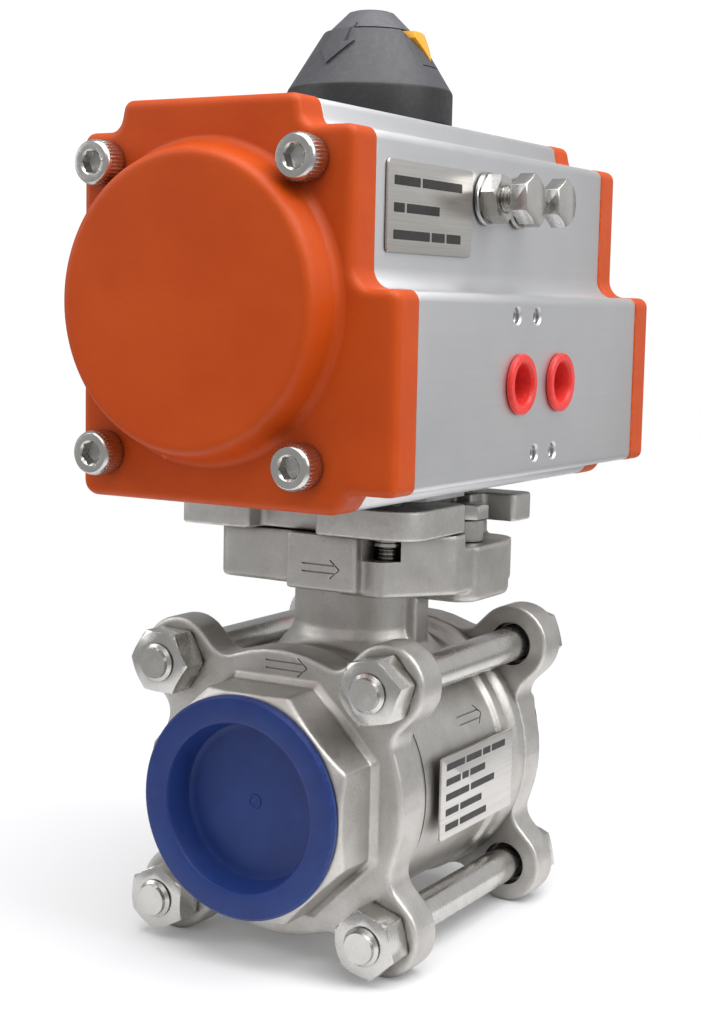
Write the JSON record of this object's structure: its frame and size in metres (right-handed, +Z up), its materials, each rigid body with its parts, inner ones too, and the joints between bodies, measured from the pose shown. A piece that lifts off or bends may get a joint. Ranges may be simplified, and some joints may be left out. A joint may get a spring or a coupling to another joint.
{
  "type": "rotary pneumatic actuator with ball valve",
  "caption": "Rack-and-pinion rotary pneumatic actuator with stepped aluminium body and domed orange end caps, bolted on a stainless three-piece ball valve.",
  "frame": {"origin": "middle of the footprint, on the floor the lower ears stand on", "axes": "+Z up along the valve stem; Y along the pipe and the actuator bore, with the front at -Y; +X towards the air ports"},
  "size_m": [0.1154, 0.2004, 0.2926],
  "materials": {
    "orange_paint": "satin powder coat, fine orange peel",
    "anodised_aluminium": "satin clear anodised, fine drawn lines",
    "cast_stainless": "investment cast stainless, bead blasted",
    "machined_stainless": "bright machined stainless",
    "nameplate_steel": "thin brushed plate, left blank",
    "dark_steel": "oiled dark steel",
    "seal_rubber": "nitrile rubber",
    "acetal": "machined acetal",
    "ptfe": "waxy white fluoropolymer",
    "indicator_grey": "fine spark texture",
    "indicator_amber": "moulded insert",
    "port_red": "moulded, slightly glossy",
    "cap_blue": "soft polyethylene"
  },
  "bodies": {
    "housing": {"front_end_cap": "orange_paint", "rear_end_cap": "orange_paint", "actuator_body": "anodised_aluminium", "mounting_plate": "cast_stainless", "valve_body": "cast_stainless", "front_end_connector": "cast_stainless", "rear_end_connector": "cast_stainless", "front_cap_screw_1": "machined_stainless", "front_cap_screw_2": "machined_stainless", "front_cap_screw_3": "machined_stainless", "front_cap_screw_4": "machined_stainless", "rear_cap_screw_1": "machined_stainless", "rear_cap_screw_2": "machined_stainless", "rear_cap_screw_3": "machined_stainless", "rear_cap_screw_4": "machined_stainless", "tie_bolt_1": "machined_stainless", "tie_bolt_2": "machined_stainless", "tie_bolt_3": "machined_stainless", "tie_bolt_4": "machined_stainless", "tie_nut_1": "machined_stainless", "tie_nut_2": "machined_stainless", "tie_nut_3": "machined_stainless", "tie_nut_4": "machined_stainless", "mount_stud_1": "machined_stainless", "mount_stud_2": "machined_stainless", "mount_stud_3": "machined_stainless", "mount_stud_4": "machined_stainless", "plate_bolt_1": "machined_stainless", "plate_bolt_2": "machined_stainless", "front_stop_screw": "machined_stainless", "rear_stop_screw": "machined_stainless", "front_stop_lock_nut": "machined_stainless", "rear_stop_lock_nut": "machined_stainless", "gland_nut": "machined_stainless", "actuator_nameplate": "nameplate_steel", "valve_nameplate": "nameplate_steel", "front_cap_seal": "seal_rubber", "rear_cap_seal": "seal_rubber", "pinion_lower_bush": "acetal", "pinion_upper_bush": "acetal", "front_seat": "ptfe", "rear_seat": "ptfe", "stem_packing": "ptfe", "front_port_bush": "port_red", "rear_port_bush": "port_red", "front_thread_cap": "cap_blue", "rear_thread_cap": "cap_blue"},
    "pinion": {"pinion_shaft": "machined_stainless", "pinion_washer": "acetal", "pinion_circlip": "dark_steel", "stop_cam": "dark_steel", "indicator_cap": "indicator_grey", "indicator_pointer": "indicator_amber", "indicator_screw": "dark_steel"},
    "front_piston_group": {"front_piston": "anodised_aluminium", "front_piston_seal": "seal_rubber"},
    "rear_piston_group": {"rear_piston": "anodised_aluminium", "rear_piston_seal": "seal_rubber"},
    "valve_stem": {"stem": "machined_stainless"},
    "valve_ball": {"ball": "machined_stainless"}
  },
  "joints": [
    {"name": "pinion_turn", "type": "hinge", "parent": "housing", "child": "pinion", "pos_m": [-0.00683, 0, 0.20039], "axis": [0, 0, 1], "range_deg": [0, 90]},
    {"name": "front_piston_slide", "type": "slide", "parent": "housing", "child": "front_piston_group", "axis": [0, -1, 0], "range_m": [0, 0.022]},
    {"name": "rear_piston_slide", "type": "slide", "parent": "housing", "child": "rear_piston_group", "axis": [0, 1, 0], "range_m": [0, 0.022]},
    {"name": "stem_turn", "type": "hinge", "parent": "housing", "child": "valve_stem", "pos_m": [-0.00683, 0, 0.11084], "axis": [0, 0, 1], "range_deg": [0, 90]},
    {"name": "ball_turn", "type": "hinge", "parent": "housing", "child": "valve_ball", "pos_m": [-0.00683, 0, 0.05084], "axis": [0, 0, 1], "range_deg": [0, 90]}
  ],
  "couplings": [
    {"joint": "front_piston_slide", "follows": "pinion_turn", "m_per_rad": 0.014},
    {"joint": "rear_piston_slide", "follows": "pinion_turn", "m_per_rad": 0.014},
    {"joint": "stem_turn", "follows": "pinion_turn", "ratio": 1},
    {"joint": "ball_turn", "follows": "pinion_turn", "ratio": 1}
  ]
}
